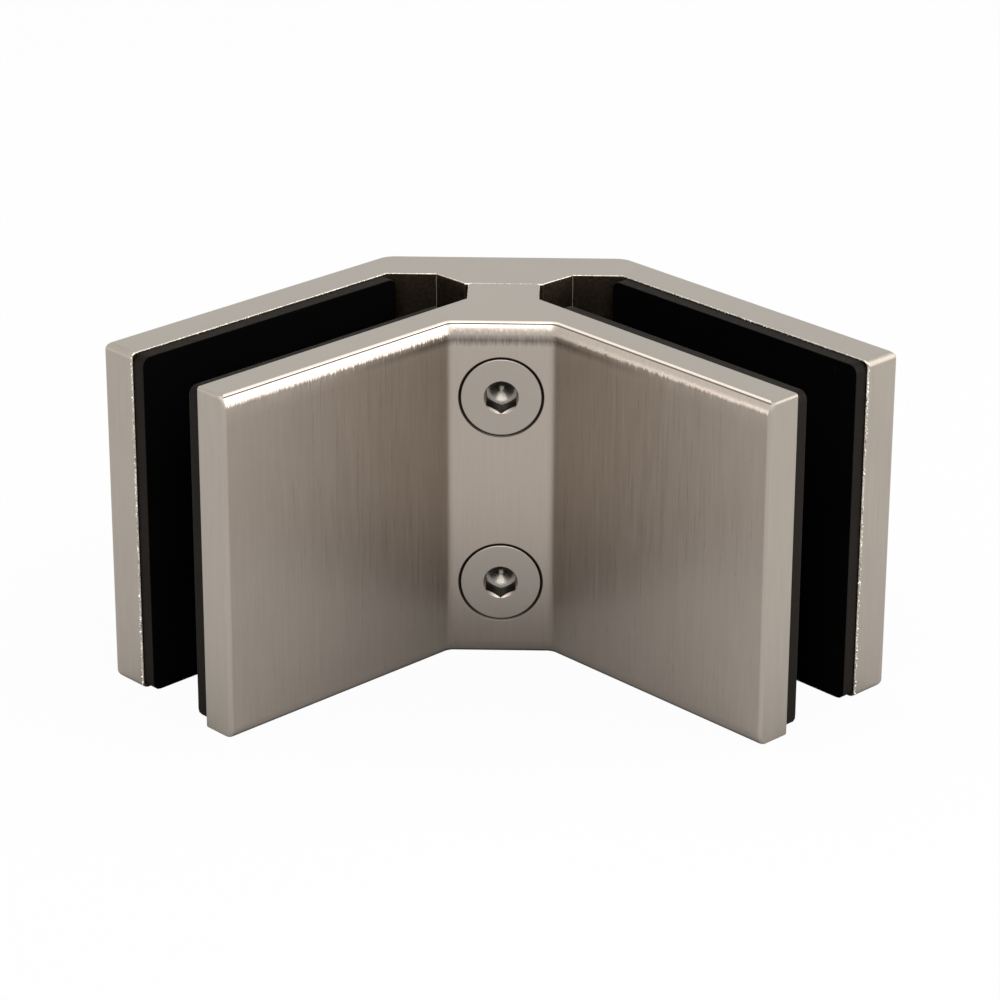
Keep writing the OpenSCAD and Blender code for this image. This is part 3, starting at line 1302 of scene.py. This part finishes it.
def thread_rule() -> GeometryRule:
    """Makes the rule that cuts a right-hand thread into a turned shank.

    Returns:
        The rule, with the thread's sizes as its inputs.
    """
    rule = GeometryRule("cut_thread", dict.fromkeys(
        ("Axis Height", "Start", "End", "Pitch", "Depth", "Run Out"), "Float")
        | {"Material": "Material"})
    given = rule.given
    place = rule.add("GeometryNodeInputPosition").outputs[0]
    x, along, z = rule.add("ShaderNodeSeparateXYZ", {0: place}).outputs
    rise = rule.maths("SUBTRACT", z, given["Axis Height"])
    turn = rule.maths("DIVIDE", rule.maths("ARCTAN2", x, rise), math.tau)
    phase = rule.maths("FRACT", rule.maths(
        "SUBTRACT", rule.maths("DIVIDE", along, given["Pitch"]), turn))
    flank = rule.gap(rule.product(phase, 2.0), 1.0)
    cut = rule.spread(flank, CREST, 1 - CREST, 0.0, 1.0)
    past_start = rule.maths("DIVIDE", rule.maths("SUBTRACT", along, given["Start"]),
                            given["Run Out"])
    before_end = rule.maths("DIVIDE", rule.maths("SUBTRACT", given["End"], along),
                            given["Run Out"])
    fade = rule.product(rule.spread(past_start, 0.0, 1.0, 0.0, 1.0),
                        rule.spread(before_end, -SHARP_END, SHARP_END, 0.0, 1.0))
    depth = rule.product(rule.product(cut, fade), given["Depth"])
    radial = rule.add("ShaderNodeCombineXYZ", {"X": x, "Z": rise}).outputs[0]
    shift = rule.scaled(rule.vector("NORMALIZE", radial), rule.product(depth, -1.0))
    inside = rule.product(rule.maths("GREATER_THAN", along, given["Start"]),
                          rule.maths("LESS_THAN", along, given["End"]))
    cut_mesh = rule.add("GeometryNodeSetPosition", {
        "Geometry": given["Geometry"], "Selection": inside, "Offset": shift}).outputs[0]
    rule.finish(cut_mesh, given["Material"])
    return rule


@dataclass
class SocketScrew:
    """A countersunk screw with a hexagon socket and a cut thread.

    Attributes:
        seat_radius: Radius at which its countersunk cone would meet the head's face.
        plain_length: Length of the plain neck below the head.
        run_out: How many turns the thread takes to reach its full depth.
        point_angle: Angle of the drilled cone below the socket.
        least_edge: The least width and depth of the chamfer around the socket.
        bright_depth: How far into the socket the head's own finish reaches; deeper in, the socket
            takes painted shade.
        wall_tilt: How far along the axis the socket's wall looks, at most.
        columns: The number of stretches around the screw.
        edge_steps: The number of stretches across the head's rounded edge.
        cone_steps: The number of stretches along the drilled cone.
        rows_per_pitch: The number of stretches along one turn of the thread.
    """

    node: str
    head_radius: float = 5.6 * MM
    seat_radius: float = 5.9 * MM
    shank_radius: float = 3.0 * MM
    head_edge: float = 0.12 * MM
    pitch: float = 1.0 * MM
    thread_depth: float = 0.6 * MM
    plain_length: float = 1.6 * MM
    run_out: float = 1.5
    tip_chamfer: float = 0.6 * MM
    socket_flats: float = 4.2 * MM
    socket_depth: float = 3.0 * MM
    socket_mouth: float = 4.85 * MM
    point_angle: float = math.radians(118)
    least_edge: float = 0.02 * MM
    bright_depth: float = 0.2 * MM
    wall_tilt: float = 0.1
    columns: int = 72
    edge_steps: int = 4
    cone_steps: int = 4
    rows_per_pitch: int = 8

    def hexagon(self, angle: float) -> float:
        """Radius of the socket's wall at an angle from up."""
        sixth = math.tau / 6
        return self.socket_flats / 2 / math.cos(angle % sixth - sixth / 2)

    def socket(self, face: float, height: float) -> List[List[Vector]]:
        """Draws the hexagon socket with its drilled bottom and chamfered mouth.

        Args:
            face: Where the head's face lies along the axis.
            height: The axis's height.

        Returns:
            The rings from the bottom to the head's face.
        """
        reach, mouth = self.socket_flats / 2, self.socket_mouth / 2
        bottom = face + self.socket_depth
        cone = reach / math.tan(self.point_angle / 2)
        shares = (step / self.cone_steps for step in range(1, self.cone_steps + 1))
        drilled = [ring_points(reach * share, bottom + cone * (1 - share), height, self.columns)
                   for share in shares]
        wall = ring_points(self.hexagon, bottom, height, self.columns)
        chamfer = [Vector((place.x, face + max(self.least_edge, mouth - math.hypot(
            place.x, place.z - height)), place.z)) for place in wall]
        rim = ring_points(lambda angle: max(mouth, self.hexagon(angle) + self.least_edge), face,
                          height, self.columns)
        return [[Vector((0.0, bottom + cone, height))], *drilled, wall, chamfer, rim]

    def rings(self, face: float, end: float, height: float) -> List[List[Vector]]:
        """Works out the screw's skin, from the socket's bottom to the thread's tip.

        Args:
            face: Where the head's face lies along the axis.
            end: Where the screw ends.
            height: The axis's height.

        Returns:
            The rings in order.
        """
        edge = self.head_edge
        profile = [((self.socket_mouth / 2 + self.head_radius) / 2, face)]
        for step in range(self.edge_steps + 1):
            angle = math.pi / 2 * step / self.edge_steps
            profile.append((self.head_radius - edge + edge * math.sin(angle),
                            face + edge - edge * math.cos(angle)))
        profile.append((self.head_radius, face + self.seat_radius - self.head_radius))
        neck = face + self.seat_radius - self.shank_radius
        profile.append((self.shank_radius, neck))
        start, stop = neck + self.plain_length, end - self.tip_chamfer
        rows = round((stop - start) / self.pitch * self.rows_per_pitch)
        profile += [(self.shank_radius, start + (stop - start) * row / rows)
                    for row in range(rows + 1)]
        profile += [(self.shank_radius - self.tip_chamfer * share,
                     end - self.tip_chamfer * (1 - share)) for share in (0.5, 1.0)]
        turned = [ring_points(radius, y, height, self.columns) for radius, y in profile]
        return self.socket(face, height) + turned + [[Vector((0.0, end, height))]]

    def make(self, rule: GeometryRule, finishes: Finishes) -> Piece:
        """Turns the screw and cuts its thread.

        Args:
            rule: The rule that cuts a thread.
            finishes: The clamp's finishes.

        Returns:
            The finished screw, riding on its body.
        """
        low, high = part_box(self.node)
        height = (low.z + high.z) / 2
        name = "turned_" + self.node
        piece = new_piece(name, skinned(name, self.rings(low.y, high.y, height)))
        neck = low.y + self.seat_radius - self.shank_radius
        rule.applied_to(piece, {
            "Axis Height": height, "Start": neck + self.plain_length - HAIR,
            "End": high.y - self.tip_chamfer + HAIR, "Pitch": self.pitch,
            "Depth": self.thread_depth, "Run Out": self.run_out * self.pitch,
            "Material": finishes.head})
        # Painted shade: below its mouth the socket takes the darker socket finish, and its walls
        # the nearly black bore finish.
        piece.data.materials.append(finishes.socket)
        piece.data.materials.append(finishes.bore)
        head, socket, wall = range(3)
        for polygon in piece.data.polygons:
            centre = polygon.center
            reach = math.hypot(centre.x, centre.z - height)
            depth = centre.y - low.y
            in_socket = (reach < self.socket_mouth / 2
                         and self.bright_depth < depth < 2 * self.socket_depth)
            on_wall = in_socket and abs(polygon.normal.y) < self.wall_tilt
            polygon.material_index = wall if on_wall else socket if in_socket else head
        smooth(piece)
        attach(piece, self.node)
        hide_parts(self.node)
        return piece


# ---- gaskets


def gasket_rule() -> GeometryRule:
    """Makes the rule that cuts a gasket with rounded corners from sheet rubber.

    Returns:
        The rule, with the gasket's sizes as its inputs.
    """
    rule = GeometryRule("cut_gasket", dict.fromkeys(
        ("Length", "Height", "Thickness", "Corner Radius", "Waviness", "Step", "Seed"), "Float")
        | {"Material": "Material"})
    given = rule.given
    outline = rule.add("GeometryNodeCurvePrimitiveQuadrilateral", {
        "Width": given["Length"], "Height": given["Height"]}, mode="RECTANGLE").outputs[0]
    rounded = rule.add("GeometryNodeFilletCurve", {
        "Curve": outline, "Radius": given["Corner Radius"], "Count": GASKET_CORNER_STEPS},
        mode="POLY").outputs[0]
    stepped = rule.add("GeometryNodeResampleCurve", {
        "Curve": rounded, "Length": given["Step"]}, mode="LENGTH").outputs[0]
    noise = rule.add("ShaderNodeTexNoise", {
        "Scale": GASKET_WAVES_PER_METRE, "Detail": 2.0, "W": given["Seed"]}, noise_dimensions="4D")
    centred = rule.vector("SUBTRACT", noise.outputs["Color"], (0.5, 0.5, 0.5))
    flat = rule.vector("MULTIPLY", centred, (1.0, 1.0, 0.0))
    shift = rule.scaled(flat, given["Waviness"])
    wavy = rule.add("GeometryNodeSetPosition", {"Geometry": stepped, "Offset": shift}).outputs[0]
    sheet = rule.add("GeometryNodeFillCurve", {"Curve": wavy}, mode="NGONS").outputs[0]
    raised = rule.add("GeometryNodeExtrudeMesh", {
        "Mesh": sheet, "Offset": (0.0, 0.0, 1.0), "Offset Scale": given["Thickness"],
        "Individual": False}).outputs[0]
    under = rule.add("GeometryNodeFlipFaces", {0: sheet}).outputs[0]
    both = rule.add("GeometryNodeJoinGeometry")
    for part in (raised, under):
        rule.tree.links.new(part, both.inputs[0])
    solid = rule.add("GeometryNodeMergeByDistance", {"Geometry": both.outputs[0],
                                                     "Distance": HAIR}).outputs[0]
    rule.finish(solid, given["Material"])
    return rule


@dataclass
class Gasket:
    """A strip of sheet rubber on the inner face of one wing.

    Attributes:
        node: The gasket's node.
        body: The body that it moves with.
        side: The wing that it lines.
        proud: How much higher its upper edge stands, as it was laid by hand.
        edge_angle: Edges that turn more than this are softened.
        face_tilt: How far towards its wing or away from it a moulded face looks, at least.
        edge_steps: The number of stretches across a softened edge.
        step: Distance between the points of the outline.
    """

    node: str
    body: str
    side: Side
    fold: float = FOLD
    thickness: float = 2 * MM
    proud: float = 0.0
    corner_radius: float = 1.2 * MM
    waviness: float = 0.05 * MM
    edge_softness: float = 0.12 * MM
    edge_angle: float = math.radians(50)
    face_tilt: float = 0.8
    edge_steps: int = 3
    step: float = 0.6 * MM

    def make(self, rule: GeometryRule, finishes: Finishes) -> Piece:
        """Cuts the gasket and lays it on its wing.

        Args:
            rule: The rule that cuts a gasket.
            finishes: The clamp's finishes.

        Returns:
            The finished gasket, riding on its body.
        """
        low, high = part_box(self.node)
        high = high + UP * self.proud
        length = (high.x - low.x - self.thickness * math.sin(self.fold)) / math.cos(self.fold)
        # The waves reach half their size past the outline.
        trim = self.waviness / 2
        piece = new_piece("cut_" + self.node, bpy.data.meshes.new(self.node))
        rule.applied_to(piece, {
            "Length": length - 2 * trim, "Height": high.z - low.z - 2 * trim,
            "Thickness": self.thickness, "Corner Radius": self.corner_radius,
            "Waviness": self.waviness, "Step": self.step,
            "Seed": float(sorted(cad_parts).index(self.node)),
            "Material": finishes.rubber})
        self.lay(piece, low, high)
        self.soften(piece, finishes)
        smooth(piece)
        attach(piece, self.body)
        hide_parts(self.node)
        return piece

    def lay(self, piece: Piece, low: Vector, high: Vector) -> None:
        """Turns the sheet upright along its wing, in its mesh.

        Args:
            piece: The flat gasket, centred on the origin.
            low: The lowest corner of its place.
            high: The highest corner of its place.
        """
        along = Vector((self.side.value * math.cos(self.fold), -math.sin(self.fold), 0.0))
        normal = along.cross(UP)
        turn = Matrix((along, UP, normal)).transposed().to_4x4()
        sink = Matrix.Translation((0.0, 0.0, -self.thickness / 2))
        piece.data.transform(Matrix.Translation((low + high) / 2) @ turn @ sink)

    def soften(self, piece: Piece, finishes: Finishes) -> None:
        """Rounds the cut edges slightly and greys the cut faces.

        Args:
            piece: The gasket in place.
            finishes: The clamp's finishes.
        """
        bevel = piece.modifiers.new("soft_edges", "BEVEL")
        bevel.width = self.edge_softness
        bevel.segments = self.edge_steps
        bevel.limit_method = "ANGLE"
        bevel.angle_limit = self.edge_angle
        flattened(piece)
        mesh = piece.data
        mesh.materials.clear()
        mesh.materials.append(finishes.rubber)
        mesh.materials.append(finishes.cut_rubber)
        normal = Vector((math.sin(self.fold) * self.side.value, math.cos(self.fold), 0.0))
        for polygon in mesh.polygons:
            polygon.material_index = int(abs(polygon.normal.dot(normal)) <= self.face_tilt)


# ---- studio


@dataclass
class Softbox:
    """A large soft lamp that looks at the clamp.

    Attributes:
        azimuth_deg: Its place around the clamp, from straight in front to the right.
        elevation_deg: Its place above the clamp's middle.
        level: How brightly it shines, whatever its size.
    """

    name: str
    azimuth_deg: float
    elevation_deg: float
    distance: float
    width: float
    height: float
    level: float

    def place(self, target: Vector) -> None:
        """Hangs the lamp.

        Args:
            target: The point that it looks at.
        """
        lamp = bpy.data.lights.new(self.name, "AREA")
        lamp.shape = "RECTANGLE"
        lamp.size, lamp.size_y = self.width, self.height
        lamp.energy = self.level * math.pi * self.width * self.height
        azimuth, elevation = math.radians(self.azimuth_deg), math.radians(self.elevation_deg)
        away = Vector((math.sin(azimuth) * math.cos(elevation),
                       -math.cos(azimuth) * math.cos(elevation), math.sin(elevation)))
        lamp_object = bpy.data.objects.new(self.name, lamp)
        bpy.context.scene.collection.objects.link(lamp_object)
        lamp_object.matrix_world = (Matrix.Translation(target + away * self.distance)
                                    @ away.to_track_quat("Z", "Y").to_matrix().to_4x4())


@dataclass
class Studio:
    """A white floor, soft lamps and a long lens a little above the clamp.

    Attributes:
        elevation_deg: How far the lens looks down on the clamp.
        turn_deg: How far it stands to one side.
        roll_deg: How far it leans.
        distance: How far it stands from the screws' heads.
        aim: How far it looks aside and up from the middle of those heads.
        lens: Focal length, in millimetres on the sensor.
        sensor: Width of the sensor, in millimetres.
        clip_start: Distance from which the lens shows things.
        diffuse_world: Strength of the light that the surroundings throw on the clamp.
        floor_glow: The share of plain white in what the camera sees of the floor.
        floor_glow_in_metal: The share of it in what the metal mirrors of the floor.
        shadow_reach: How far from the clamp a painted shadow darkens the floor.
        shadow_power: How strongly it does.
        shadow_samples: The number of rays that look for the clamp there.
    """

    elevation_deg: float = 23.27
    turn_deg: float = -1.23
    roll_deg: float = -0.21
    distance: float = 551.3 * MM
    aim: Tuple[float, float] = (-0.12 * MM, -1.39 * MM)
    lens: float = 142.13
    sensor: float = 36.0
    clip_start: float = 10 * MM
    diffuse_world: float = 0.25
    floor_glow: float = 0.97
    floor_glow_in_metal: float = 0.66
    floor_colour: float = 0.88
    floor_reach: float = 6.0
    shadow_reach: float = 50 * MM
    shadow_power: float = 1.35
    shadow_samples: int = 6

    def camera(self) -> None:
        """Sets up the camera."""
        low, high = cad_box
        face_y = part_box("upper_screw")[0].y
        elevation, turn, roll = (math.radians(a) for a in
                                 (self.elevation_deg, self.turn_deg, self.roll_deg))
        forward = Vector((0.0, math.cos(elevation), -math.sin(elevation)))
        right = Vector((1.0, 0.0, 0.0))
        up = right.cross(forward)
        rolled_right = right * math.cos(roll) - up * math.sin(roll)
        rolled_up = right * math.sin(roll) + up * math.cos(roll)
        place = Vector((self.aim[0], 0.0, self.aim[1])) - forward * self.distance
        back = Matrix.Rotation(-turn, 4, "Z")
        axes = Matrix((rolled_right, rolled_up, -forward)).transposed().to_4x4()
        middle = Vector((0.0, face_y, (low.z + high.z) / 2))
        data = bpy.data.cameras.new("camera")
        data.lens = self.lens
        data.sensor_width = self.sensor
        data.clip_start = self.clip_start
        camera = bpy.data.objects.new("camera", data)
        bpy.context.scene.collection.objects.link(camera)
        camera.matrix_world = (Matrix.Translation(middle) @ back
                               @ Matrix.Translation(place) @ axes)
        bpy.context.scene.camera = camera

    @staticmethod
    def seen_directly(tree: NodeTree, by_camera: Value, in_metal: Value) -> Socket:
        """Tells a look from the camera or in a gloss from light that falls on the clamp.

        Args:
            tree: The tree that asks.
            by_camera: The value for what the camera sees, also through glass.
            in_metal: The value for what a gloss shows.

        Returns:
            One of the values, or 0 for other light.
        """
        path = tree.add("ShaderNodeLightPath").outputs
        seen = tree.maths("MAXIMUM", path["Is Camera Ray"], path["Is Transmission Ray"])
        return tree.maths("MAXIMUM", tree.product(seen, by_camera),
                          tree.product(path["Is Glossy Ray"], in_metal))

    def surroundings(self) -> None:
        """Makes a world that looks white and lights the clamp softly."""
        world = bpy.data.worlds.new("studio")
        bpy.context.scene.world = world
        world.use_nodes = True
        tree = NodeTree(world.node_tree)
        strength = tree.maths("MAXIMUM", self.seen_directly(tree, 1.0, 1.0),
                              self.diffuse_world)
        sky = tree.add("ShaderNodeBackground", {"Color": WHITE, "Strength": strength})
        tree.add("ShaderNodeOutputWorld", {"Surface": sky.outputs[0]})

    def floor(self) -> None:
        """Lays the pale floor under the clamp, with a painted shadow around it."""
        mesh = bpy.data.meshes.new("floor")
        reach, level = self.floor_reach, cad_box[0].z
        mesh.from_pydata([(-reach, -reach, level), (reach, -reach, level), (reach, reach, level),
                          (-reach, reach, level)], [], [(0, 1, 2, 3)])
        material, tree = new_material("floor")
        # Painted shadow: an ambient occlusion node darkens the floor's paint near the clamp, and
        # its glow where the metal mirrors it.
        free = tree.add("ShaderNodeAmbientOcclusion", {"Distance": self.shadow_reach},
                        samples=self.shadow_samples).outputs["AO"]
        openness = tree.maths("POWER", free, self.shadow_power)
        paint = tree.add("ShaderNodeBsdfDiffuse", {
            "Color": tree.product(openness, self.floor_colour)})
        glow = tree.add("ShaderNodeEmission", {"Color": WHITE, "Strength": 1.0})
        share = self.seen_directly(tree, self.floor_glow,
                                   tree.product(openness, self.floor_glow_in_metal))
        mixed = tree.add("ShaderNodeMixShader", {0: share, 1: paint.outputs[0],
                                                 2: glow.outputs[0]})
        tree.add("ShaderNodeOutputMaterial", {"Surface": mixed.outputs[0]})
        mesh.materials.append(material)
        new_piece("floor", mesh)

    def lamps(self) -> None:
        """Hangs the softboxes."""
        target = (cad_box[0] + cad_box[1]) / 2
        for lamp in (
                Softbox("front_softbox", azimuth_deg=0.0, elevation_deg=50.0, distance=0.9,
                        width=0.9, height=0.66, level=3.0),
                Softbox("left_softbox", azimuth_deg=-88.0, elevation_deg=4.0, distance=0.8,
                        width=0.75, height=0.1, level=3.0),
                Softbox("right_softbox", azimuth_deg=88.0, elevation_deg=23.0, distance=0.8,
                        width=0.75, height=0.62, level=3.3)):
            lamp.place(target)

    def build(self) -> None:
        """Builds the whole studio."""
        self.camera()
        self.surroundings()
        self.floor()
        self.lamps()
        bpy.context.scene.view_settings.view_transform = "Standard"


# ---- assembly


def write_sizes() -> None:
    """Updates the view layer."""
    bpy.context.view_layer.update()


def report(piece: Piece) -> None:
    """Logs a piece's name and its number of triangles."""
    triangles = sum(len(polygon.vertices) - 2 for polygon in piece.data.polygons)
    log.info("%s: %d triangles", piece.name, triangles)


def main() -> None:
    """Builds the clamp and its studio in order."""
    logging.basicConfig(level=logging.INFO, format="%(message)s")
    Studio().build()
    finishes = Finishes.build()
    burring, cutting, threading = burring_rule(), gasket_rule(), thread_rule()
    for plate in (RearPlate("brushed_rear_plate", "rear_plate", "rear_half"),
                  FrontPlate("brushed_front_plate", "front_plate", "front_half")):
        report(plate.make(burring, finishes))
    for node, side, proud in (
            ("rear_left_gasket", Side.LEFT, 0.0), ("front_left_gasket", Side.LEFT, 0.25 * MM),
            ("rear_right_gasket", Side.RIGHT, 0.0), ("front_right_gasket", Side.RIGHT, 0.5 * MM)):
        body = node.split("_")[0] + "_half"
        report(Gasket(node, body, side, proud=proud).make(cutting, finishes))
    for node in ("upper_screw", "lower_screw"):
        report(SocketScrew(node).make(threading, finishes))
    write_sizes()


if __name__ == "__main__":
    main()
